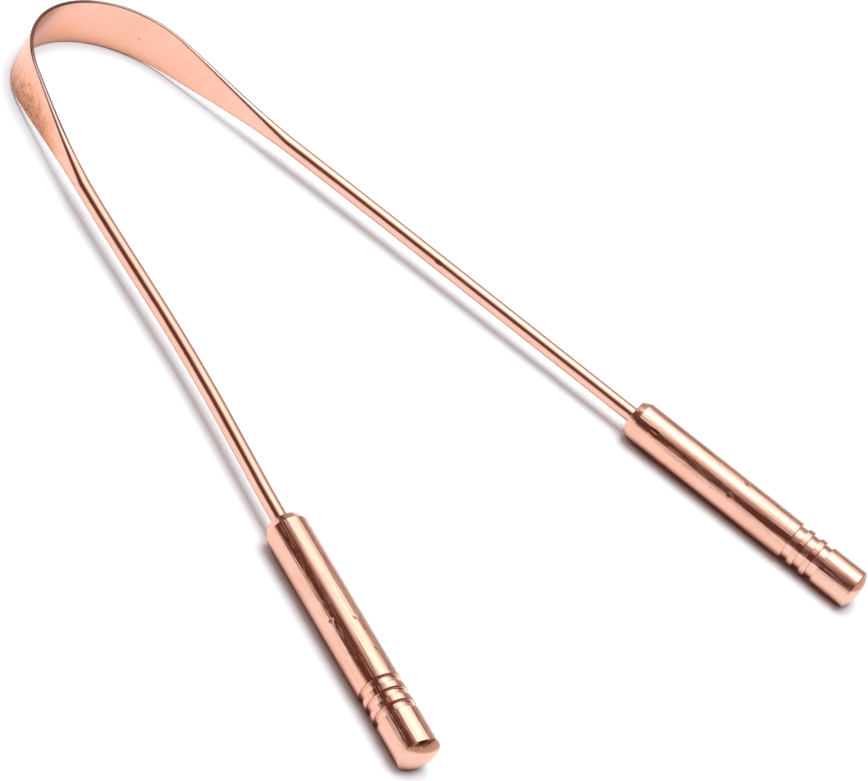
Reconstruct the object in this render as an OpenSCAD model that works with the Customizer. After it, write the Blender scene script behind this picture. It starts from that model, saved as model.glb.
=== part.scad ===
// Tongue scraper: a copper rod flattened in its middle into an arched blade,
// with a turned copper handle on each of its two legs.
// It lies on its back: the blade's middle is at +Y, the handles are at -Y, +Z is up.
// The origin is the middle of its footprint, on the surface that it lies on.
// All lengths are in millimetres and all turns in degrees.

/* [Rod] */
// Diameter of the round rod that the bow is bent from
rod_d = 2.5; // [1.9:0.1:3.1]
// Length of rod from the middle of the blade to the mouth of a handle
leg_len = 112.6; // [100:0.2:130]
// Radius of the arch, to the middle of the metal
arch_r = 16.8; // [13:0.2:20]
// Turn of the arch on each side of its middle
arch_turn = 72; // [64:1:80]

/* [Blade] */
// Width of the blade at the middle of the arch
blade_w = 8.4; // [7:0.1:10]
// Length of rod from the middle of the blade to where the rod is round again
blade_reach = 43.5; // [34:0.5:60]
// How late the blade narrows: 1 narrows evenly, more keeps it wide for longer
taper_power = 3.8; // [2:0.1:5]

/* [Set of the legs] */
// Length of each leg, after the arch, in which it turns in toward the other one
toe_in_len = 45; // [30:1:60]
// Turn of the right leg toward the left one
right_toe_in = 2.1; // [0:0.1:9]
// Turn of the left leg toward the right one
left_toe_in = 9.4; // [0:0.1:10]
// Length of rod from the middle of the blade to where a leg starts to turn out again
toe_out_start = 52.6; // [45:0.2:60]
// Length in which a leg turns out again
toe_out_len = 40; // [25:1:45]
// Turn of the right leg outward again
right_toe_out = 0; // [0:0.1:6]
// Turn of the left leg outward again
left_toe_out = 6.9; // [0:0.1:8]
// Length of rod, up to a handle's mouth, in which a leg makes its last turn in
last_turn_len = 8.6; // [4:0.2:14]
// Last turn of the right leg
right_last_turn = 0; // [0:0.1:4]
// Last turn of the left leg
left_last_turn = 2.1; // [0:0.1:4]

/* [Handle] */
// Diameter of the handle
handle_d = 6.6; // [5.6:0.1:7.6]
// Length of the handle from its mouth to the crown of its outer end
handle_len = 44; // [38:0.5:54]
// Width of the chamfer round the mouth, across the handle
mouth_chamfer_w = 0.6; // [0.2:0.05:0.9]
// Length of the chamfer round the mouth, along the handle
mouth_chamfer_len = 1.3; // [0.4:0.1:2]
// Height of the dome that the outer end is crowned with
crown_h = 1; // [0.4:0.1:1.6]

/* [Grip grooves] */
// Number of grooves turned into each handle
groove_count = 3; // [1:1:5]
// Width of one groove
groove_w = 1.25; // [0.8:0.05:1.8]
// Depth of one groove
groove_depth = 0.4; // [0.15:0.05:0.7]
// Width of the band left between two grooves
band_w = 1.05; // [0.6:0.05:1.6]
// Plain length between the last groove and the start of the crown
end_plain_len = 6.2; // [4:0.1:10]

/* [Fit of the rod in the handle] */
// Depth of the blind bore that takes the end of the rod
bore_depth = 12; // [7:0.5:18]
// Play between the rod and the wall of the bore, all round
bore_play = 0.02; // [0.01:0.01:0.05]
// Gap left between the end of the rod and the bottom of the bore
bore_end_gap = 0.3; // [0.1:0.1:1]

/* [Hidden] */

// Sides of the rod's outline, rings along the blade and rings along the rest of a leg
outline_sides = 24;
blade_rings = 44;
leg_rings = 16;
// Smoothness of turned shapes and steps of the crown's curve
turned_fn = 96;
crown_steps = 8;
copper = [0.85, 0.52, 0.42];
bow_copper = [0.87, 0.56, 0.46];

rod_r = rod_d / 2;
handle_r = handle_d / 2;
right = 1;
left = -1;

// The blade is the rod's own metal, pressed flat: its outline has round edges
// and the same area as the rod, so its thickness follows from its width.
rod_area = PI * rod_r ^ 2;
corner_share = 1 - PI / 4;
blade_t = (blade_w - sqrt(blade_w ^ 2 - 4 * corner_share * rod_area)) / (2 * corner_share);

function width_for(t) = rod_area / t + corner_share * t;
function thickness(s) = blade_t + (rod_d - blade_t) * min(s / blade_reach, 1) ^ taper_power;

// Where a leg turns: s is the length of rod from the middle of the blade
arch_len = arch_r * arch_turn * PI / 180;

function toe_in(side) = side == right ? right_toe_in : left_toe_in;
function toe_out(side) = side == right ? right_toe_out : left_toe_out;
function last_turn(side) = side == right ? right_last_turn : left_last_turn;
function passed(s, start, length) = max(0, min((s - start) / length, 1));
function turn(s, side) =
    arch_turn * passed(s, 0, arch_len)
    + toe_in(side) * passed(s, arch_len, toe_in_len)
    - toe_out(side) * passed(s, toe_out_start, toe_out_len)
    + last_turn(side) * passed(s, leg_len - last_turn_len, last_turn_len);

// Directions in the plane of the bow, for a leg that runs away from the blade
function along(s, side) = [side * cos(turn(s, side)), -sin(turn(s, side))];
function outward(s, side) = [side * sin(turn(s, side)), cos(turn(s, side))];

// Straight step from one station to the next along a stretch of even curve
function step(s0, s1, side) =
    let (bend = (turn(s1, side) - turn(s0, side)) * PI / 360)
    let (chord = abs(bend) > 0 ? (s1 - s0) * sin(bend * 180 / PI) / bend : s1 - s0)
    chord * along_mean(s0, s1, side);
function along_mean(s0, s1, side) =
    let (mean = (turn(s0, side) + turn(s1, side)) / 2)
    [side * cos(mean), -sin(mean)];

// Stations along one leg: closer on the blade than on the round rod
tang_len = bore_depth - bore_end_gap;
stations = concat(
    [for (i = [0:blade_rings]) blade_reach * i / blade_rings],
    [for (i = [1:leg_rings]) blade_reach + (leg_len - blade_reach) * i / leg_rings],
    [leg_len + tang_len]
);

function places(side) = [
    for (i = 0, p = [0, 0];
        i < len(stations);
        i = i + 1, p = i < len(stations) ? p + step(stations[i - 1], stations[i], side) : p) p
];
right_places = places(right);
left_places = places(left);
mouth_index = blade_rings + leg_rings;

function mouth(side) = side == right ? right_places[mouth_index] : left_places[mouth_index];
function handle_way(side) = along(leg_len, side);

// Outline of the handle from its mouth to its crown, as [radius, length along]
barrel_end = handle_len - crown_h;
grooves_len = groove_count * groove_w + (groove_count - 1) * band_w;
grooves_start = barrel_end - end_plain_len - grooves_len;
function groove_start(i) = grooves_start + i * (groove_w + band_w);

// The crown is part of a ball, which meets the barrel at a clear rim
crown_r = (handle_r ^ 2 + crown_h ^ 2) / (2 * crown_h);
crown_turn = asin(handle_r / crown_r);

handle_outline = concat(
    [[handle_r - mouth_chamfer_w, 0], [handle_r, mouth_chamfer_len]],
    [for (i = [0:groove_count - 1], corner = [0:3]) groove_corner(i, corner)],
    [for (i = [0:crown_steps])
        let (a = crown_turn * (1 - i / crown_steps))
        [crown_r * sin(a), handle_len - crown_r * (1 - cos(a))]]
);
function groove_corner(i, corner) = [
    corner == 0 || corner == 3 ? handle_r : handle_r - groove_depth,
    groove_start(i) + (corner < 2 ? 0 : groove_w)
];

// Reach of the part in the plane of the bow, from the middle of the blade
function reach_x(side) = max([
    for (p = handle_outline)
        abs(mouth(side).x) + p.y * abs(handle_way(side).x) + p.x * abs(handle_way(side).y)
]);
function reach_y(side) = max([
    for (p = handle_outline)
        -mouth(side).y + p.y * abs(handle_way(side).y) + p.x * abs(handle_way(side).x)
]);
footprint_middle = [
    (reach_x(right) - reach_x(left)) / 2,
    (blade_t / 2 - max(reach_y(right), reach_y(left))) / 2
];

// The blade is wider than the handles are thick, so at rest the bow leans:
// it stands on the blade's lower edge and on the outer ends of the handles.
function barrel_end_y(side) = mouth(side).y + barrel_end * handle_way(side).y;
rest_lean = atan((blade_w / 2 - handle_r) / -min(barrel_end_y(right), barrel_end_y(left)));
rest_height = blade_w / 2 * cos(rest_lean);

module at_rest() {
    translate([0, -footprint_middle.y, rest_height])
        rotate([rest_lean, 0, 0])
            translate([-footprint_middle.x, 0, 0])
                children();
}

// One ring of the rod's outline: round edges, with flats between them on the blade
function ring(s, place, side) =
    let (t = thickness(s), half_flat = (width_for(t) - t) / 2)
    let (out = outward(s, side))
    [
        for (k = [0:outline_sides - 1])
            let (a = 360 * (k + 0.5) / outline_sides)
            let (across = place + out * t / 2 * cos(a))
            [across.x, across.y, t / 2 * sin(a) + sign(sin(a)) * half_flat]
    ];

// The bow's rings, from the end of the left leg round to the end of the right one
last_station = len(stations) - 1;
bow_rings = concat(
    [for (i = [last_station:-1:1]) ring(stations[i], left_places[i], left)],
    [for (i = [0:last_station]) ring(stations[i], right_places[i], right)]
);

module scraper_bow() {
    count = len(bow_rings);
    n = outline_sides;
    skin = [
        for (i = [0:count - 2], k = [0:n - 1], half = [0, 1])
            let (a = i * n + k, b = i * n + (k + 1) % n)
            half == 0 ? [a, b, b + n] : [a, b + n, a + n]
    ];
    left_end = [for (k = [n - 1:-1:0]) k];
    right_end = [for (k = [0:n - 1]) (count - 1) * n + k];
    color(bow_copper)
        at_rest()
            polyhedron(points = [for (r = bow_rings) each r], faces = concat(skin, [left_end], [right_end]));
}

// One handle, turned from bar about its own axis and bored from its mouth
module handle(side) {
    way = handle_way(side);
    bore_r = rod_r + bore_play;
    profile = concat([[0, bore_depth], [bore_r, bore_depth], [bore_r, 0]], handle_outline);
    color(copper)
        at_rest()
            translate([mouth(side).x, mouth(side).y, 0])
                rotate([0, 90, atan2(way.y, way.x)])
                    rotate_extrude($fn = turned_fn)
                        polygon(profile);
}

module left_handle() {
    handle(left);
}

module right_handle() {
    handle(right);
}

scraper_bow();
left_handle();
right_handle();
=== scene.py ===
"""Looks of the copper tongue scraper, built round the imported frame.

The bow is made as a metalworker makes it: a round rod is pressed flat in its
middle and then bent along its route. The handles are turned from a profile.
Sizes repeat those of the part's source, in millimetres; the mesh is in metres.
"""

import math

import bpy
from mathutils import Matrix, Vector


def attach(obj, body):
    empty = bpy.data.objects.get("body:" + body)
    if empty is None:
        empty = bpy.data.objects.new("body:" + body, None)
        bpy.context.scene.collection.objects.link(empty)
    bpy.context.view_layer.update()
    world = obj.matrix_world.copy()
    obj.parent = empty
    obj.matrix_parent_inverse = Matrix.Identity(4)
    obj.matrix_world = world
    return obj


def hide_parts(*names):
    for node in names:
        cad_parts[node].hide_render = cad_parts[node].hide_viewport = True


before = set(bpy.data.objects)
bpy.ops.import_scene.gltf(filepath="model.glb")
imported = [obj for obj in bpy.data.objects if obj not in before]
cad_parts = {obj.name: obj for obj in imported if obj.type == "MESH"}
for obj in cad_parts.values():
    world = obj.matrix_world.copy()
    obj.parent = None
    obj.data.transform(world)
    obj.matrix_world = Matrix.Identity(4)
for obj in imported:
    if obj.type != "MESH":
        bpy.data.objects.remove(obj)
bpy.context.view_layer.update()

MM = 0.001
X, Y = 0, 1
RIGHT, LEFT = 0, 1

# Sizes of the rod and its blade
ROD_D = 2.5
LEG_LEN = 112.6
ARCH_R = 16.8
ARCH_TURN = 72
BLADE_W = 8.4
BLADE_REACH = 43.5
TAPER_POWER = 3.8

# Set of the legs, as (right, left)
OUTWARD = (1, -1)
TOE_IN_LEN = 45
TOE_IN = (2.1, 9.4)
TOE_OUT_START = 52.6
TOE_OUT_LEN = 40
TOE_OUT = (0, 6.9)
LAST_TURN_LEN = 8.6
LAST_TURN = (0, 2.1)

# Sizes of a handle
HANDLE_D = 6.6
HANDLE_LEN = 44
MOUTH_CHAMFER_W = 0.6
MOUTH_CHAMFER_LEN = 1.3
CROWN_H = 1
GROOVE_COUNT = 3
GROOVE_W = 1.25
GROOVE_DEPTH = 0.4
BAND_W = 1.05
END_PLAIN_LEN = 6.2
BORE_DEPTH = 12
BORE_PLAY = 0.02
BORE_END_GAP = 0.3

# How finely the pieces are cut up. The rod's length is cut twice, the second
# time between the first cuts. Faces that meet at less than the angle are smoothed.
ROD_SIDES = 32
ROD_CUTS = (19, 19)
ROUTE_STEP = 0.4
TURNED_STEPS = 96
CROWN_STEPS = 14
CORNER_RADIUS = 0.06
CORNER_SEGMENTS = 2
BOW_SMOOTH_ANGLE = 50
HANDLE_SMOOTH_ANGLE = 5

# Two places nearer to each other than NEAR count as one. The rings' places along
# the rod are rounded to RING_DIGITS, and the chain of a handle's profile starts
# from a plane of POINT_SIZE that is merged into one point.
NEAR = 0.01
RING_DIGITS = 4
POINT_SIZE = 0.001

ROD_R = ROD_D / 2
ROD_SIDE_W = 2 * ROD_R * math.sin(math.pi / ROD_SIDES)
HANDLE_R = HANDLE_D / 2
BORE_R = ROD_R + BORE_PLAY
TANG_LEN = BORE_DEPTH - BORE_END_GAP
HALF_ROD_LEN = LEG_LEN + TANG_LEN
ARCH_LEN = ARCH_R * math.radians(ARCH_TURN)
BARREL_END = HANDLE_LEN - CROWN_H

# Pressing the rod keeps its area, so the thickness follows from the width
ROD_AREA = math.pi * ROD_R ** 2
CORNER_SHARE = 1 - math.pi / 4
BLADE_ROOT = math.sqrt(BLADE_W ** 2 - 4 * CORNER_SHARE * ROD_AREA)
BLADE_T = (BLADE_W - BLADE_ROOT) / (2 * CORNER_SHARE)


def width_for(thick):
    """Width of the pressed rod where it is that thick."""
    return ROD_AREA / thick + CORNER_SHARE * thick


def thickness(s):
    """Thickness of the rod at a length of rod from the blade's middle."""
    return BLADE_T + (ROD_D - BLADE_T) * min(s / BLADE_REACH, 1) ** TAPER_POWER


def passed(s, start, length):
    """Share of a stretch of rod that lies before s."""
    return max(0, min((s - start) / length, 1))


def turn(s, side):
    """Turn of the rod, in radians, at a length of rod from the blade's middle."""
    degrees = ARCH_TURN * passed(s, 0, ARCH_LEN)
    degrees += TOE_IN[side] * passed(s, ARCH_LEN, TOE_IN_LEN)
    degrees -= TOE_OUT[side] * passed(s, TOE_OUT_START, TOE_OUT_LEN)
    degrees += LAST_TURN[side] * passed(s, LEG_LEN - LAST_TURN_LEN, LAST_TURN_LEN)
    return math.radians(degrees)


def way(s, side):
    """Which way the rod runs there, as a vector of length 1."""
    angle = turn(s, side)
    return Vector((OUTWARD[side] * math.cos(angle), -math.sin(angle), 0))


def leg_route(side, length):
    """Points of one leg's centre line, from the blade's middle, ROUTE_STEP apart."""
    steps = math.ceil(length / ROUTE_STEP)
    step = length / steps
    points = [Vector((0, 0, 0))]
    for i in range(steps):
        points.append(points[-1] + way((i + 0.5) * step, side) * step)
    return points


def mouth(side):
    """Place of a handle's mouth."""
    return leg_route(side, LEG_LEN)[-1]


# Outline of a handle behind its mouth, as (length along, radius)
CHAMFER_CORNERS = [(0, HANDLE_R - MOUTH_CHAMFER_W), (MOUTH_CHAMFER_LEN, HANDLE_R)]
GROOVES_LEN = GROOVE_COUNT * GROOVE_W + (GROOVE_COUNT - 1) * BAND_W
GROOVES_START = BARREL_END - END_PLAIN_LEN - GROOVES_LEN


def groove_corners():
    corners = []
    for i in range(GROOVE_COUNT):
        start = GROOVES_START + i * (GROOVE_W + BAND_W)
        bottom = HANDLE_R - GROOVE_DEPTH
        corners += [(start, HANDLE_R), (start, bottom)]
        corners += [(start + GROOVE_W, bottom), (start + GROOVE_W, HANDLE_R)]
    return corners


# The crown is part of a ball, which meets the barrel at a clear rim
CROWN_R = (HANDLE_R ** 2 + CROWN_H ** 2) / (2 * CROWN_H)
CROWN_TURN = math.asin(HANDLE_R / CROWN_R)


def crown_points():
    angles = [CROWN_TURN * (1 - i / CROWN_STEPS) for i in range(CROWN_STEPS + 1)]
    return [(HANDLE_LEN - CROWN_R * (1 - math.cos(a)), CROWN_R * math.sin(a)) for a in angles]


# The rest pose: the bow leans on the blade's lower edge and the handles' ends
def farthest(side, axis):
    """How far a handle's crown reaches from the blade's middle, along X or Y."""
    heading = way(LEG_LEN, side)
    start, slope, across = abs(mouth(side)[axis]), abs(heading[axis]), abs(heading[1 - axis])
    return max(start + along * slope + radius * across for along, radius in crown_points())


def barrel_end_y(side):
    return mouth(side).y + BARREL_END * way(LEG_LEN, side).y


LEAN = math.atan((BLADE_W / 2 - HANDLE_R) / -min(barrel_end_y(RIGHT), barrel_end_y(LEFT)))
REST_HEIGHT = BLADE_W / 2 * math.cos(LEAN)
MIDDLE_X = (farthest(RIGHT, X) - farthest(LEFT, X)) / 2
MIDDLE_Y = (BLADE_T / 2 - max(farthest(RIGHT, Y), farthest(LEFT, Y))) / 2
AT_REST = (
    Matrix.Scale(MM, 4)
    @ Matrix.Translation((0, -MIDDLE_Y, REST_HEIGHT))
    @ Matrix.Rotation(LEAN, 4, "X")
    @ Matrix.Translation((-MIDDLE_X, 0, 0))
)


# Small helpers for work on a mesh
def start_on(obj):
    bpy.ops.object.select_all(action="DESELECT")
    bpy.context.view_layer.objects.active = obj
    obj.select_set(True)


def add_primitive(operator, name, **settings):
    bpy.ops.object.select_all(action="DESELECT")
    operator(**settings)
    obj = bpy.context.object
    obj.name = name
    return obj


def link_new(name, data):
    obj = bpy.data.objects.new(name, data)
    bpy.context.scene.collection.objects.link(obj)
    return obj


def edit(obj, kind="VERT"):
    start_on(obj)
    bpy.ops.object.mode_set(mode="EDIT")
    bpy.ops.mesh.select_mode(type=kind)


def pick(obj, test):
    """Selects the vertices whose place passes the test, and nothing else."""
    bpy.ops.mesh.select_all(action="DESELECT")
    bpy.ops.object.mode_set(mode="OBJECT")
    for vertex in obj.data.vertices:
        vertex.select = test(vertex.co)
    bpy.ops.object.mode_set(mode="EDIT")


def keep_places(obj, name):
    """Stores each vertex's present place, in millimetres, for patterns that follow the metal."""
    kept = obj.data.attributes.new(name, "FLOAT_VECTOR", "POINT")
    for vertex, place in zip(obj.data.vertices, kept.data):
        place.vector = vertex.co


def apply_place(obj):
    """Moves the object's place into its mesh and leaves the object at the origin."""
    start_on(obj)
    bpy.ops.object.transform_apply(location=True, rotation=True, scale=True)


def finish_mesh(obj, placement, smooth_angle):
    """Puts a shaped piece in its place, closes its seams and smooths its round faces."""
    obj.matrix_world = placement
    apply_place(obj)
    edit(obj)
    bpy.ops.mesh.select_all(action="SELECT")
    bpy.ops.mesh.remove_doubles(threshold=NEAR * MM)
    bpy.ops.mesh.normals_make_consistent(inside=False)
    bpy.ops.object.mode_set(mode="OBJECT")
    start_on(obj)
    bpy.ops.object.shade_smooth_by_angle(angle=math.radians(smooth_angle))


# The bow
def make_straight_rod():
    """A round bar along X, with its middle at the origin, cut into rings."""
    rod = add_primitive(
        bpy.ops.mesh.primitive_cylinder_add, "pressed_bow",
        vertices=ROD_SIDES, radius=ROD_R, depth=2 * HALF_ROD_LEN, rotation=(0, math.pi / 2, 0),
    )
    apply_place(rod)
    edit(rod, "EDGE")
    bpy.ops.mesh.select_all(action="SELECT")
    bpy.ops.transform.rotate(
        value=math.pi / ROD_SIDES, orient_axis="X", orient_type="GLOBAL",
        center_override=(0, 0, 0),
    )
    for cuts in ROD_CUTS:
        select_lengthwise_edges(rod)
        bpy.ops.mesh.subdivide(number_cuts=cuts)
    bpy.ops.object.mode_set(mode="OBJECT")
    return rod


def select_lengthwise_edges(rod, test=lambda co: True):
    """Selects the edges along the rod whose two ends pass the test."""
    bpy.ops.mesh.select_all(action="DESELECT")
    bpy.ops.object.mode_set(mode="OBJECT")
    places = [v.co for v in rod.data.vertices]
    for edge in rod.data.edges:
        a, b = (places[i] for i in edge.vertices)
        edge.select = abs(a.x - b.x) > NEAR and test(a) and test(b)
    bpy.ops.object.mode_set(mode="EDIT")


def mark_flats(rod):
    """Parts the blade's future flats from its rims, so that they mirror as flats.

    The borders grow out of the edges on both sides of the rod's middle height.
    """
    edit(rod, "EDGE")
    select_lengthwise_edges(rod, lambda co: abs(co.z) < ROD_SIDE_W and abs(co.x) < BLADE_REACH)
    bpy.ops.mesh.mark_sharp()
    bpy.ops.object.mode_set(mode="OBJECT")


def press_blade(rod):
    """Presses the middle of the rod flat, a pair of rings at a time."""
    stations = sorted({round(abs(v.co.x), RING_DIGITS) for v in rod.data.vertices})
    edit(rod)
    for s in stations:
        thick = thickness(s)
        if thick >= ROD_D:
            break
        half_flat = (width_for(thick) - thick) / 2
        share = thick / ROD_D
        at_station = lambda co: abs(abs(co.x) - s) < NEAR
        pick(rod, at_station)
        bpy.ops.transform.resize(value=(1, share, share), center_override=(0, 0, 0))
        pick(rod, lambda co: at_station(co) and co.z > 0)
        bpy.ops.transform.translate(value=(0, 0, half_flat))
        pick(rod, lambda co: at_station(co) and co.z < 0)
        bpy.ops.transform.translate(value=(0, 0, -half_flat))
    bpy.ops.object.mode_set(mode="OBJECT")


def keep_widths(bow):
    """Stores half the metal's width at each vertex, by which the blade's rims are found."""
    kept = bow.data.attributes.new("half_width", "FLOAT", "POINT")
    for vertex, width in zip(bow.data.vertices, kept.data):
        width.value = width_for(thickness(abs(vertex.co.x))) / 2


def make_route():
    """The line that the rod is bent along, from the left leg's end to the right one's."""
    left = leg_route(LEFT, HALF_ROD_LEN)
    right = leg_route(RIGHT, HALF_ROD_LEN)
    points = left[:0:-1] + right
    curve = bpy.data.curves.new("route", "CURVE")
    curve.dimensions = "3D"
    curve.twist_mode = "Z_UP"
    spline = curve.splines.new("POLY")
    spline.points.add(len(points) - 1)
    for knot, place in zip(spline.points, points):
        knot.co = (*place, 1)
    return link_new("route", curve)


def bend_along(rod, route):
    """Bends the rod from the route's start on, which then isn't needed any more."""
    rod.location.x = HALF_ROD_LEN
    apply_place(rod)
    bend = rod.modifiers.new("bend", "CURVE")
    bend.object = route
    bend.deform_axis = "POS_X"
    bpy.ops.object.modifier_apply(modifier=bend.name)
    bpy.data.objects.remove(route)


def make_bow():
    bow = make_straight_rod()
    mark_flats(bow)
    press_blade(bow)
    keep_places(bow, "unbent")
    keep_widths(bow)
    bend_along(bow, make_route())
    finish_mesh(bow, AT_REST, BOW_SMOOTH_ANGLE)
    return bow


# The handles
def handle_profile():
    """Profile of a handle from the bottom of its bore, as (length along, radius)."""
    bore = [(BORE_DEPTH, 0), (BORE_DEPTH, BORE_R), (0, BORE_R)]
    return bore + CHAMFER_CORNERS + groove_corners() + crown_points()


def turn_handle(name):
    """Draws the profile as a chain of edges, rounds its corners and turns it about X."""
    profile = [Vector((along, radius, 0)) for along, radius in handle_profile()]
    handle = add_primitive(
        bpy.ops.mesh.primitive_plane_add, name, size=POINT_SIZE, location=profile[0]
    )
    apply_place(handle)
    edit(handle)
    bpy.ops.mesh.select_all(action="SELECT")
    bpy.ops.mesh.merge(type="CENTER")
    for here, there in zip(profile, profile[1:]):
        bpy.ops.mesh.extrude_region_move(TRANSFORM_OT_translate={"value": there - here})
    rounded = CHAMFER_CORNERS + groove_corners() + [(BARREL_END, HANDLE_R)]
    pick(handle, lambda co: any((Vector(corner) - co.xy).length < NEAR for corner in rounded))
    bpy.ops.mesh.bevel(offset=CORNER_RADIUS, segments=CORNER_SEGMENTS, affect="VERTICES")
    bpy.ops.mesh.select_all(action="SELECT")
    bpy.ops.mesh.spin(
        steps=TURNED_STEPS, angle=2 * math.pi, center=(0, 0, 0), axis=(1, 0, 0),
        use_auto_merge=True,
    )
    bpy.ops.object.mode_set(mode="OBJECT")
    return handle


def make_handle(name, side):
    handle = turn_handle(name)
    keep_places(handle, "turned")
    heading = way(LEG_LEN, side)
    about_z = Matrix.Rotation(math.atan2(heading.y, heading.x), 4, "Z")
    placement = AT_REST @ Matrix.Translation(mouth(side)) @ about_z
    finish_mesh(handle, placement, HANDLE_SMOOTH_ANGLE)
    return handle


# Building blocks for the node trees, and a Mix node's sockets for colours
VECTOR, FLOAT = "NodeSocketVector", "NodeSocketFloat"
MIX_SHARE, MIX_FIRST, MIX_SECOND, MIX_RESULT = 0, 6, 7, 2


def add(tree, kind, **settings):
    node = tree.nodes.new(kind)
    for key, value in settings.items():
        setattr(node, key, value)
    return node


def feed(tree, source, socket):
    """Links a socket to another one, or sets it to a plain value."""
    if isinstance(source, bpy.types.NodeSocket):
        tree.links.new(source, socket)
    else:
        socket.default_value = source


def math_node(tree, operation, *values):
    node = add(tree, "ShaderNodeMath", operation=operation)
    for value, socket in zip(values, node.inputs):
        feed(tree, value, socket)
    return node.outputs[0]


def vector_node(tree, operation, *values):
    node = add(tree, "ShaderNodeVectorMath", operation=operation)
    for value, socket in zip(values, node.inputs):
        feed(tree, value, socket)
    return node.outputs["Value" if operation == "LENGTH" else "Vector"]


def both(tree, first, second):
    """The product of two masks, or of a mask and its share."""
    return math_node(tree, "MULTIPLY", first, second)


def chain(tree, operation, values):
    """Joins all the values by one operation, such as the highest of several masks."""
    joined, *others = values
    for value in others:
        joined = math_node(tree, operation, joined, value)
    return joined


def step_up(tree, value, low, high):
    """0 below low, 1 above high and smooth between them."""
    node = add(tree, "ShaderNodeMapRange", interpolation_type="SMOOTHSTEP")
    feed(tree, value, node.inputs["Value"])
    feed(tree, low, node.inputs["From Min"])
    feed(tree, high, node.inputs["From Max"])
    return node.outputs["Result"]


def step_down(tree, value, low, high):
    """1 below low, 0 above high and smooth between them."""
    return math_node(tree, "SUBTRACT", 1.0, step_up(tree, value, low, high))


def between(tree, value, rise, fall):
    """0, then up to 1 over the rise, then down to 0 again over the fall."""
    return math_node(tree, "SUBTRACT", step_up(tree, value, *rise), step_up(tree, value, *fall))


def noise(tree, vector, scale, detail, rough):
    node = add(tree, "ShaderNodeTexNoise")
    feed(tree, vector, node.inputs["Vector"])
    feed(tree, scale, node.inputs["Scale"])
    feed(tree, detail, node.inputs["Detail"])
    feed(tree, rough, node.inputs["Roughness"])
    return node.outputs["Fac"]


def bump(tree, height, distance, normal=None):
    node = add(tree, "ShaderNodeBump")
    feed(tree, height, node.inputs["Height"])
    node.inputs["Distance"].default_value = distance
    if normal is not None:
        tree.links.new(normal, node.inputs["Normal"])
    return node.outputs["Normal"]


def split(tree, vector):
    """The vector's three numbers, by the names X, Y and Z."""
    axes = add(tree, "ShaderNodeSeparateXYZ")
    feed(tree, vector, axes.inputs[0])
    return axes.outputs


def mix_colour(tree, share, first, second):
    node = add(tree, "ShaderNodeMix", data_type="RGBA")
    feed(tree, share, node.inputs[MIX_SHARE])
    feed(tree, first, node.inputs[MIX_FIRST])
    feed(tree, second, node.inputs[MIX_SECOND])
    return node.outputs[MIX_RESULT]


def lay_on(tree, colour, layers, masks):
    """Lays colours over the metal, each as strongly as its mask and its share say."""
    for mark, share, over in layers:
        colour = mix_colour(tree, both(tree, masks[mark], share), colour, over)
    return colour


def raise_by(tree, value, layers, masks):
    """Adds to a value the share of each mask."""
    for mark, share in layers:
        value = math_node(tree, "MULTIPLY_ADD", masks[mark], share, value)
    return value


def start_group(name, inputs, outputs):
    """A node group with inputs of the given kinds and with outputs of plain values."""
    tree = bpy.data.node_groups.new(name, "ShaderNodeTree")
    for socket, kind in inputs.items():
        tree.interface.new_socket(name=socket, in_out="INPUT", socket_type=kind)
    for socket in outputs:
        tree.interface.new_socket(name=socket, in_out="OUTPUT", socket_type=FLOAT)
    return tree, add(tree, "NodeGroupInput").outputs, add(tree, "NodeGroupOutput").inputs


def use_group(tree, group, **values):
    node = add(tree, "ShaderNodeGroup", node_tree=group)
    for key, value in values.items():
        feed(tree, value, node.inputs[key])
    return node.outputs


def start_material(name, shader_kind):
    """A material that holds nothing but its shader and the output."""
    material = bpy.data.materials.new(name)
    material.use_nodes = True
    tree = material.node_tree
    tree.nodes.clear()
    shader = add(tree, shader_kind)
    output = add(tree, "ShaderNodeOutputMaterial")
    tree.links.new(shader.outputs[0], output.inputs["Surface"])
    return material, tree, shader


# Effects that both kinds of copper share, on places in millimetres. A grain is
# the detail and roughness of a noise, and a wave also has its scale before them.
# A fade is the two values between which a mask changes smoothly.
LINE_GRAIN = (3.0, 0.65)
LINE_FADE = (0.52, 0.68)
CLOUD_GRAIN = (3.0, 0.5)
CLOUD_FADE = (0.45, 0.75)
SPECK_GRAIN = (4.0, 0.7)
SPECK_FADE = (0.56, 0.7)
NICK_WAVE = (1.5, 2.0, 0.5)
NICK_SHIFT = 0.6
NICK_FREE_SHARE = 0.62
SPOT_WAVE = (1.1, 4.0, 0.5)
SPOT_WAVE_MIDDLE = 0.5
SPOT_FADE = (0.3, 1.0)


def make_fine_lines():
    """Fine lines left by drawing, brushing or turning, along one way of the metal."""
    inputs = {"Place": VECTOR, "Stretch": VECTOR, "Scale": FLOAT}
    tree, given, out = start_group("fine_lines", inputs, ["Height", "Mask"])
    along = vector_node(tree, "MULTIPLY", given["Place"], given["Stretch"])
    fine = noise(tree, along, given["Scale"], *LINE_GRAIN)
    feed(tree, fine, out["Height"])
    feed(tree, step_up(tree, fine, *LINE_FADE), out["Mask"])
    return tree


def make_tarnish():
    """Soft clouds of tarnish, and darker specks of it."""
    inputs = {"Place": VECTOR, "Cloud Scale": FLOAT, "Speck Scale": FLOAT}
    tree, given, out = start_group("tarnish", inputs, ["Cloud", "Specks"])
    cloud = noise(tree, given["Place"], given["Cloud Scale"], *CLOUD_GRAIN)
    specks = noise(tree, given["Place"], given["Speck Scale"], *SPECK_GRAIN)
    feed(tree, step_up(tree, cloud, *CLOUD_FADE), out["Cloud"])
    feed(tree, step_up(tree, specks, *SPECK_FADE), out["Specks"])
    return tree


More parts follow.
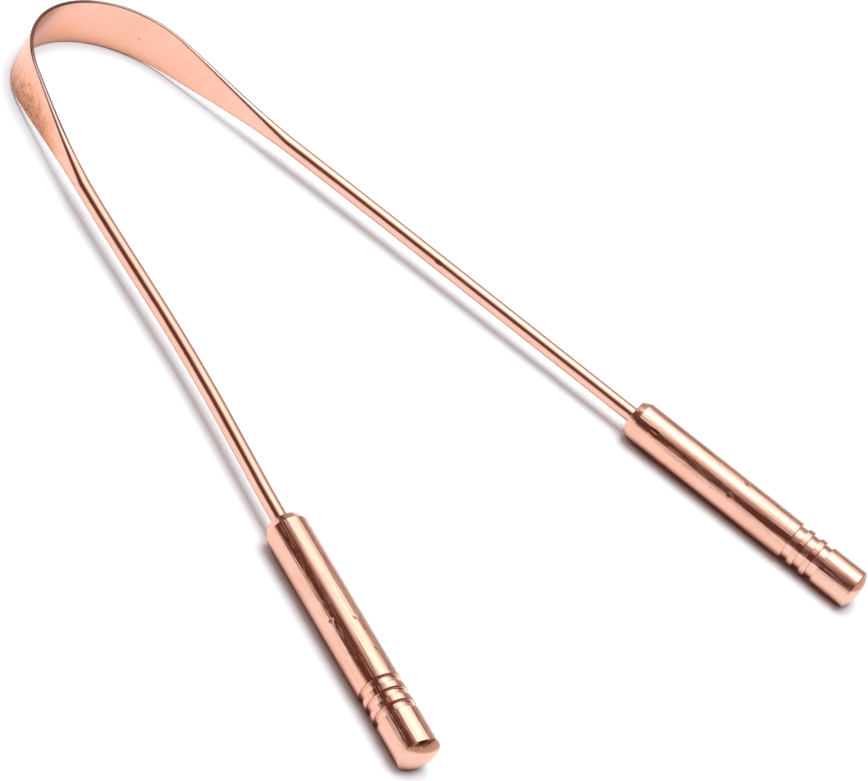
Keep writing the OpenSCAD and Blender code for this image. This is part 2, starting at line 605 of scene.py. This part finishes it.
def make_nicks():
    """Small sparse dents, each a short scratch or pit."""
    inputs = {"Place": VECTOR, "Scale": FLOAT, "Size": FLOAT}
    tree, given, out = start_group("nicks", inputs, ["Depth"])
    shift = both(tree, noise(tree, given["Place"], *NICK_WAVE), NICK_SHIFT)
    moved = vector_node(tree, "ADD", given["Place"], shift)
    cells = add(tree, "ShaderNodeTexVoronoi")
    feed(tree, moved, cells.inputs["Vector"])
    feed(tree, given["Scale"], cells.inputs["Scale"])
    chosen = math_node(tree, "GREATER_THAN", cells.outputs["Color"], NICK_FREE_SHARE)
    dent = step_down(tree, cells.outputs["Distance"], 0.0, given["Size"])
    feed(tree, both(tree, dent, chosen), out["Depth"])
    return tree


def make_spot():
    """A soft spot at one place of the metal, with a ragged edge."""
    inputs = {"Place": VECTOR, "Centre": VECTOR, "Reach": VECTOR, "Ragged": FLOAT}
    tree, given, out = start_group("spot", inputs, ["Mask"])
    away = vector_node(tree, "SUBTRACT", given["Place"], given["Centre"])
    away = vector_node(tree, "LENGTH", vector_node(tree, "DIVIDE", away, given["Reach"]))
    wave = noise(tree, given["Place"], *SPOT_WAVE)
    wave = math_node(tree, "SUBTRACT", wave, SPOT_WAVE_MIDDLE)
    edge = math_node(tree, "MULTIPLY_ADD", wave, given["Ragged"], away)
    feed(tree, step_down(tree, edge, *SPOT_FADE), out["Mask"])
    return tree


FINE_LINES = make_fine_lines()
TARNISH = make_tarnish()
NICKS = make_nicks()
SPOT = make_spot()


def spots(tree, place, marks, ragged):
    """The highest mask of several spots."""
    return chain(tree, "MAXIMUM", [
        use_group(tree, SPOT, Place=place, Centre=centre, Reach=reach, Ragged=ragged)["Mask"]
        for centre, reach in marks
    ])


METAL = 1.0
COPPER = (0.955, 0.585, 0.465, 1)
WARM_COPPER = (0.90, 0.50, 0.36, 1)
BLADE_COPPER = (0.975, 0.575, 0.45, 1)
LOW_COPPER = (0.98, 0.535, 0.39, 1)
# Pale copper for painted light: the highlight on the blade's rim and the lightened groove walls
PAINTED_LIGHT_COPPER = (0.99, 0.76, 0.68, 1)
BROWN_COPPER = (0.62, 0.27, 0.165, 1)
ORANGE = (0.96, 0.47, 0.29, 1)
# Colour of the painted dark reflection on the blade's upper rim
PAINTED_DARK_RIM = (0.20, 0.105, 0.08, 1)
TARNISHED = (0.46, 0.20, 0.12, 1)
DARK_TARNISH = (0.30, 0.12, 0.07, 1)

# Patterns that both finishes have
TARNISH_SCALES = {"Cloud Scale": 0.12, "Speck Scale": 2.2}
LINE_HEIGHT = 0.01 * MM

# Patterns of the bow alone
BOW_LINES = {"Stretch": (0.05, 1, 1), "Scale": 3.5}
BOW_NICKS = {"Scale": 0.35, "Size": 0.07}
BOW_DENT_DEPTH = 0.025 * MM
MOTTLE_STRETCH = (0.6, 1, 1)
MOTTLE_WAVE = (1.7, 5.0, 0.72)
MOTTLE_FADE = (0.48, 0.64)

# Marks on the bow, each as its centre and its reach along the rod, through it
# and across it. The outer tarnish is kept to the outside of the blade.
HEAT_STAIN = ((0.5, -0.3, -1.3), (6, 1, 2.8))
OUTER_TARNISH = ((-26, 0.3, -4.4), (17, 3, 7.5))
STAIN_RAGGED = 0.5
BOW_PITS = (((14.6, -0.3, -0.3), (0.35, 0.6, 0.3)), ((74.1, -1.1, 0.6), (0.8, 0.6, 0.4)))
BOW_PIT_RAGGED = 0.4
OUTSIDE_FADE = (0.0, 0.1)

# How the outer tarnish deepens from its edge inward: orange, brown and dark
ORANGE_FADE = (0.0, 0.35)
BROWN_FADE = (0.15, 1.1)
DIRT_FADE = (0.2, 0.8)

# Where the blade's own tint begins, by half the metal's width, and how it gets
# warmer toward the lower edge, by the height on the blade
BLADE_FADE = (1.8, 3.6)
LOW_FADE = (-3.0, 4.2)

# The blade's upper rim, which gets a painted highlight: how far in from its edge,
# from which half width on, over which length of rod a painted dark reflection
# covers it all over, and its border further on
RIM_INSET_FADE = (0.12, 0.34)
RIM_WIDTH_FADE = (1.4, 2.2)
PAINTED_DARK_RIM_RISE = (-21, -17)
PAINTED_DARK_RIM_FALL = (2, 10)
BORDER_FADE = (-0.17, -0.05)

# Colours on the bow in the order that they are laid on, each as its mark, how
# strongly it covers and its colour, and what each mark adds to the roughness
BOW_LAYERS = (
    ("clouds", 0.5, WARM_COPPER),
    ("heat stain", 0.6, ORANGE),
    ("lines", 0.4, WARM_COPPER),
    ("specks", 0.3, TARNISHED),
    ("tarnish edge", 1.0, ORANGE),
    ("tarnish", 1.0, BROWN_COPPER),
    ("dirt", 0.75, DARK_TARNISH),
    ("pits", 0.5, TARNISHED),
    # The rim gets a painted highlight of pale copper, and over it a painted dark reflection
    ("rim", 0.85, PAINTED_LIGHT_COPPER),
    ("painted dark rim", 0.92, PAINTED_DARK_RIM),
)
BOW_ROUGHNESS = 0.19
BOW_DULLED_BY = (("lines", 0.06), ("rim", 0.15), ("specks", 0.08))


def start_copper(name, attribute):
    """A metal whose patterns lie on the places that the attribute has kept."""
    material, tree, shader = start_material(name, "ShaderNodeBsdfPrincipled")
    shader.inputs["Metallic"].default_value = METAL
    place = add(tree, "ShaderNodeAttribute", attribute_name=attribute).outputs["Vector"]
    return material, tree, shader, place


def blade_rims(tree, axes, half_width):
    """1 on the blade's upper rim, which gets a painted highlight, and 1 where it gets a painted
    dark reflection.

    The painted dark reflection covers the rim all over round the arch, and further on
    along one border alone: the outer one on the right side and the inner one on the left side.
    """
    inset = math_node(tree, "SUBTRACT", half_width, axes["Z"])
    on_blade = step_up(tree, half_width, *RIM_WIDTH_FADE)
    rim = both(tree, step_down(tree, inset, *RIM_INSET_FADE), on_blade)
    all_over = between(tree, axes["X"], PAINTED_DARK_RIM_RISE, PAINTED_DARK_RIM_FALL)
    to_side = both(tree, axes["Y"], math_node(tree, "SIGN", axes["X"]))
    border = step_up(tree, to_side, *BORDER_FADE)
    return rim, both(tree, rim, math_node(tree, "MAXIMUM", all_over, border))


def outer_tarnish(tree, place, axes):
    """Mask of the tarnish on the outside of the blade, and of the dark dirt in it."""
    spot = spots(tree, place, [OUTER_TARNISH], STAIN_RAGGED)
    outside = both(tree, spot, step_up(tree, axes["Y"], *OUTSIDE_FADE))
    mottled = noise(tree, vector_node(tree, "MULTIPLY", place, MOTTLE_STRETCH), *MOTTLE_WAVE)
    deep = step_up(tree, outside, *DIRT_FADE)
    return outside, both(tree, deep, step_up(tree, mottled, *MOTTLE_FADE))


def make_bow_copper():
    material, tree, shader, place = start_copper("bow_copper_finish", "unbent")
    axes = split(tree, place)
    half_width = add(tree, "ShaderNodeAttribute", attribute_name="half_width").outputs["Fac"]
    lines = use_group(tree, FINE_LINES, Place=place, **BOW_LINES)
    tarnish = use_group(tree, TARNISH, Place=place, **TARNISH_SCALES)
    nicks = use_group(tree, NICKS, Place=place, **BOW_NICKS)
    rim, painted_dark_rim = blade_rims(tree, axes, half_width)
    outside, dirt = outer_tarnish(tree, place, axes)
    masks = {
        "clouds": tarnish["Cloud"],
        "heat stain": spots(tree, place, [HEAT_STAIN], STAIN_RAGGED),
        "lines": lines["Mask"],
        "specks": both(tree, tarnish["Specks"], tarnish["Cloud"]),
        "tarnish edge": step_up(tree, outside, *ORANGE_FADE),
        "tarnish": step_up(tree, outside, *BROWN_FADE),
        "dirt": dirt,
        "pits": spots(tree, place, BOW_PITS, BOW_PIT_RAGGED),
        # The rim, which gets a painted highlight, and the painted dark reflection on it
        "rim": rim,
        "painted dark rim": painted_dark_rim,
    }
    on_blade = step_up(tree, half_width, *BLADE_FADE)
    low = both(tree, step_down(tree, axes["Z"], *LOW_FADE), on_blade)
    plain = mix_colour(tree, on_blade, COPPER, BLADE_COPPER)
    plain = mix_colour(tree, low, plain, LOW_COPPER)
    feed(tree, lay_on(tree, plain, BOW_LAYERS, masks), shader.inputs["Base Color"])
    dull = raise_by(tree, BOW_ROUGHNESS, BOW_DULLED_BY, masks)
    feed(tree, dull, shader.inputs["Roughness"])
    grain = bump(tree, lines["Height"], LINE_HEIGHT)
    dents = math_node(tree, "MAXIMUM", nicks["Depth"], masks["pits"])
    feed(tree, bump(tree, dents, -BOW_DENT_DEPTH, normal=grain), shader.inputs["Normal"])
    return material


# Patterns of the handles alone
HANDLE_LINES = {"Stretch": (0.05, 1, 1), "Scale": 3.0}
HANDLE_NICKS = {"Scale": 0.4, "Size": 0.1}
HANDLE_DENT_DEPTH = 0.05 * MM
STREAK_STRETCH = (0.04, 1, 1)
STREAK_WAVE = (1.6, 4.0, 0.6)
STREAK_FADE = (0.42, 0.66)
STREAK_HEIGHT = 0.02 * MM

# Marks on a handle, along it from its mouth and across it: the pits, each as its
# centre and its reach, where the crown begins, and how high up on it the painted dark reflection
# is
HANDLE_PITS = (
    ((4.5, -2.6, 2.0), (1.1, 0.35, 0.4)),
    ((20.5, -0.25, 3.3), (0.6, 0.5, 0.5)),
    ((26.3, 0.25, 3.3), (0.35, 0.4, 0.5)),
    ((19.4, -2.9, 1.5), (0.4, 0.5, 0.5)),
)
HANDLE_PIT_RAGGED = 0.5
ON_CROWN_FADE = (BARREL_END, BARREL_END + 0.1)
CROWN_REFLECTION_FADE = (1.05, 1.6)

# The grooves' walls: the fade beside a wall, the rise and fall at the two ends of
# the grooved stretch, from its start, and the radii at which a brown corner begins
WALL_FADE = (0.05, 0.11)
WALLS_RISE = (-0.35, -0.25)
WALLS_FALL = (GROOVES_LEN + 0.25, GROOVES_LEN + 0.35)
CORNER_FADE = (HANDLE_R - 0.12, HANDLE_R - 0.03)
ACROSS_X = (0, 1, 1)

# Colours and roughness of the handles, given as the bow's are
HANDLE_LAYERS = (
    ("clouds", 0.4, WARM_COPPER),
    ("streaks", 0.45, WARM_COPPER),
    ("specks", 0.4, TARNISHED),
    # The grooves' walls are painted lighter, and their corners brown
    ("groove walls painted light", 0.8, PAINTED_LIGHT_COPPER),
    ("groove corners", 0.7, TARNISHED),
    # A painted dark reflection on the crown's upper part
    ("crown painted reflection", 0.85, TARNISHED),
    ("pits", 0.7, TARNISHED),
)
HANDLE_ROUGHNESS = 0.13
HANDLE_DULLED_BY = (("lines", 0.06), ("specks", 0.12))


def groove_walls(tree, place, along):
    """Masks of the grooves' walls, which are painted lighter than the dark that they mirror, and
    of their brown corners.
    """
    pitch = GROOVE_W + BAND_W
    start = math_node(tree, "SUBTRACT", along, GROOVES_START)
    step = math_node(tree, "FLOORED_MODULO", math_node(tree, "ADD", start, pitch / 2), pitch)
    step = math_node(tree, "SUBTRACT", step, pitch / 2)
    nearest = chain(tree, "MINIMUM", [
        math_node(tree, "ABSOLUTE", math_node(tree, "SUBTRACT", step, wall))
        for wall in (0, GROOVE_W, -BAND_W)
    ])
    line = step_down(tree, nearest, *WALL_FADE)
    line = both(tree, line, between(tree, start, WALLS_RISE, WALLS_FALL))
    radius = vector_node(tree, "LENGTH", vector_node(tree, "MULTIPLY", place, ACROSS_X))
    corners = both(tree, line, step_up(tree, radius, *CORNER_FADE))
    return math_node(tree, "SUBTRACT", line, corners), corners


def make_handle_copper():
    material, tree, shader, place = start_copper("handle_copper_finish", "turned")
    axes = split(tree, place)
    lines = use_group(tree, FINE_LINES, Place=place, **HANDLE_LINES)
    tarnish = use_group(tree, TARNISH, Place=place, **TARNISH_SCALES)
    nicks = use_group(tree, NICKS, Place=place, **HANDLE_NICKS)
    walls, corners = groove_walls(tree, place, axes["X"])
    on_crown = step_up(tree, axes["X"], *ON_CROWN_FADE)
    streaks = noise(tree, vector_node(tree, "MULTIPLY", place, STREAK_STRETCH), *STREAK_WAVE)
    masks = {
        "clouds": tarnish["Cloud"],
        "streaks": step_up(tree, streaks, *STREAK_FADE),
        "lines": lines["Mask"],
        "specks": both(tree, tarnish["Specks"], tarnish["Cloud"]),
        # Walls of the grooves, which get painted light
        "groove walls painted light": walls,
        "groove corners": corners,
        # The crown's upper part, which gets a painted dark reflection
        "crown painted reflection": both(tree, on_crown, step_up(tree, axes["Z"], *CROWN_REFLECTION_FADE)),
        "pits": spots(tree, place, HANDLE_PITS, HANDLE_PIT_RAGGED),
    }
    feed(tree, lay_on(tree, COPPER, HANDLE_LAYERS, masks), shader.inputs["Base Color"])
    dull = raise_by(tree, HANDLE_ROUGHNESS, HANDLE_DULLED_BY, masks)
    feed(tree, dull, shader.inputs["Roughness"])
    drawn = bump(tree, masks["streaks"], STREAK_HEIGHT)
    grain = bump(tree, lines["Height"], LINE_HEIGHT, normal=drawn)
    dents = math_node(tree, "MAXIMUM", nicks["Depth"], masks["pits"])
    feed(tree, bump(tree, dents, -HANDLE_DENT_DEPTH, normal=grain), shader.inputs["Normal"])
    return material


def dress(piece, material, node):
    """Gives a piece its finish and puts it in the place of its CAD node."""
    piece.data.materials.clear()
    piece.data.materials.append(material)
    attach(piece, "root")
    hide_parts(node)


# The studio, in metres
WHITE = (1, 1, 1, 1)
FLOOR_SIZE = 8
FLOOR_WHITE = (0.98, 0.98, 0.98, 1)
BACKDROP_WHITE = (1.07, 1.14, 1.17, 1)
# Colour of the shadow painted on the floor where the metal nearly touches it
PAINTED_SHADOW_COLOUR = (0.43, 0.22, 0.18, 1)
CONTACT_REACH = 0.0055
CONTACT_SAMPLES = 8
CONTACT_FADE = (0.12, 0.27)
MIRRORED_FADE = (0.34, 0.58)
DARK_ROOM = (0.122, 0.046, 0.034, 1)
SKY_LOW = (0.155, 0.145, 0.165, 1)
SKY_FILL = (0.36, 0.355, 0.375, 1)
SKY_FADE = (0.0, 0.7)

# The key lamp: its height, its shift across in heights, its width, and how bright
# it makes a white floor under it
KEY_HEIGHT = 2
KEY_REACH = (0.03, 0.03)
KEY_WIDTH = 1.5
KEY_LIGHT = 0.86

# The softbox is brightest nearly straight above the scraper and fades outward.
# Each layer is its reach across and along, in heights of the softbox, and the
# brightness that it adds.
SOFTBOX_HEIGHT = 0.6
SOFTBOX_TURN = -19.5
SOFTBOX_LAYER_GAP = 0.002
SOFTBOX_LAYERS = (
    ((-0.80, 1.30), (-0.45, 2.00), 0.20),
    ((-0.62, 1.05), (-0.30, 1.60), 0.30),
    ((-0.50, 0.85), (-0.22, 1.40), 0.30),
    ((-0.38, 0.68), (-0.15, 1.20), 0.30),
    ((-0.25, 0.50), (-0.08, 0.95), 0.30),
    ((-0.12, 0.35), (-0.02, 0.60), 0.38),
    ((-0.30, 0.65), (-0.05, 0.40), 0.45),
)

# The cards, each as its name, its place, its turn about Z in degrees, its width
# and height, and its brightness
CARDS = (
    ("far_card", (1.1, 0.6, 0.3), -60, (2.4, 0.6), 0.45),
    ("near_card", (-0.72, 0.1, 0.06), 90, (2.0, 0.12), 1.0),
)

# The camera, as fitted to the photograph
CAMERA_SENSOR = 36
CAMERA_LENS = 198.774
CAMERA_PLACE = Vector((-517.5935, -290.24, 406.5977)) * MM
CAMERA_AIM = Vector((10.6004, -10.9903, 0)) * MM
CAMERA_ROLL = 31.4422
CAMERA_CLIP_START = 0.01


def make_floor():
    """A white floor, which the camera sees a little brighter than the metal does.

    It has a painted shadow where the metal nearly touches it, and a wider one in the mirror of
    the metal.
    """
    floor = add_primitive(bpy.ops.mesh.primitive_plane_add, "floor", size=FLOOR_SIZE)
    material, tree, shader = start_material("floor_white", "ShaderNodeBsdfDiffuse")
    nearness = add(tree, "ShaderNodeAmbientOcclusion", samples=CONTACT_SAMPLES)
    nearness.inputs["Distance"].default_value = CONTACT_REACH
    free = step_up(tree, nearness.outputs["AO"], *CONTACT_FADE)
    mirrored_free = step_up(tree, nearness.outputs["AO"], *MIRRORED_FADE)
    plain = mix_colour(tree, free, PAINTED_SHADOW_COLOUR, BACKDROP_WHITE)
    mirrored = mix_colour(tree, mirrored_free, PAINTED_SHADOW_COLOUR, FLOOR_WHITE)
    seen = add(tree, "ShaderNodeLightPath").outputs["Is Camera Ray"]
    feed(tree, mix_colour(tree, seen, mirrored, plain), shader.inputs["Color"])
    floor.data.materials.append(material)


def make_world():
    """A room that is dark in the metal and fills the shadows on the floor."""
    world = bpy.data.worlds.new("room")
    bpy.context.scene.world = world
    world.use_nodes = True
    tree = world.node_tree
    direction = split(tree, add(tree, "ShaderNodeTexCoord").outputs["Generated"])
    fill = mix_colour(tree, step_up(tree, direction["Z"], *SKY_FADE), SKY_LOW, SKY_FILL)
    glossy = add(tree, "ShaderNodeLightPath").outputs["Is Glossy Ray"]
    room = mix_colour(tree, glossy, fill, DARK_ROOM)
    feed(tree, room, tree.nodes["Background"].inputs["Color"])


def add_lamp(name, width, length, placement, brightness):
    """A rectangular lamp of that brightness, which looks straight down."""
    light = bpy.data.lights.new(name, "AREA")
    light.shape = "RECTANGLE"
    light.size = width
    light.size_y = length
    light.energy = brightness * math.pi * width * length
    lamp = link_new(name, light)
    lamp.matrix_world = placement
    return lamp


def make_softbox():
    """The soft light overhead, which the metal mirrors and the floor doesn't get."""
    turned = Matrix.Rotation(math.radians(SOFTBOX_TURN), 4, "Z")
    for i, (across, along, brightness) in enumerate(SOFTBOX_LAYERS):
        middle = Vector((sum(across) / 2, sum(along) / 2, 1)) * SOFTBOX_HEIGHT
        middle += Vector((0, 0, SOFTBOX_LAYER_GAP * i))
        width, length = ((reach[1] - reach[0]) * SOFTBOX_HEIGHT for reach in (across, along))
        placement = turned @ Matrix.Translation(middle)
        lamp = add_lamp("softbox_%d" % (i + 1), width, length, placement, brightness)
        lamp.visible_diffuse = False


def make_key_lamp():
    """The lamp that lights the floor and throws the shadows, and that no metal mirrors."""
    place = Vector((*KEY_REACH, 1)) * KEY_HEIGHT
    slant = (1 + KEY_REACH[0] ** 2 + KEY_REACH[1] ** 2) ** 2
    brightness = KEY_LIGHT * math.pi * slant * KEY_HEIGHT ** 2 / KEY_WIDTH ** 2
    key = add_lamp("key_lamp", KEY_WIDTH, KEY_WIDTH, Matrix.Translation(place), brightness)
    key.visible_glossy = False


def make_card(name, place, turn_z, size, brightness):
    """An upright glowing card, which the metal mirrors and the camera doesn't see."""
    card = add_primitive(
        bpy.ops.mesh.primitive_plane_add, name,
        size=1, location=place, rotation=(math.pi / 2, 0, math.radians(turn_z)),
    )
    card.scale = (*size, 1)
    material, _, glow = start_material(name, "ShaderNodeEmission")
    glow.inputs["Color"].default_value = WHITE
    glow.inputs["Strength"].default_value = brightness
    card.data.materials.append(material)
    card.visible_camera = False


def make_camera():
    data = bpy.data.cameras.new("camera")
    data.sensor_width = CAMERA_SENSOR
    data.lens = CAMERA_LENS
    data.clip_start = CAMERA_CLIP_START
    camera = link_new("camera", data)
    look = (CAMERA_AIM - CAMERA_PLACE).to_track_quat("-Z", "Y").to_matrix().to_4x4()
    roll = Matrix.Rotation(math.radians(CAMERA_ROLL), 4, "Z")
    camera.matrix_world = Matrix.Translation(CAMERA_PLACE) @ look @ roll
    bpy.context.scene.camera = camera


bow = make_bow()
right_handle = make_handle("right_grip", RIGHT)
left_handle = make_handle("left_grip", LEFT)

handle_copper = make_handle_copper()
dress(bow, make_bow_copper(), "scraper_bow")
dress(right_handle, handle_copper, "right_handle")
dress(left_handle, handle_copper, "left_handle")

make_floor()
make_world()
make_softbox()
make_key_lamp()
for card in CARDS:
    make_card(*card)
make_camera()
bpy.context.scene.view_settings.view_transform = "Standard"
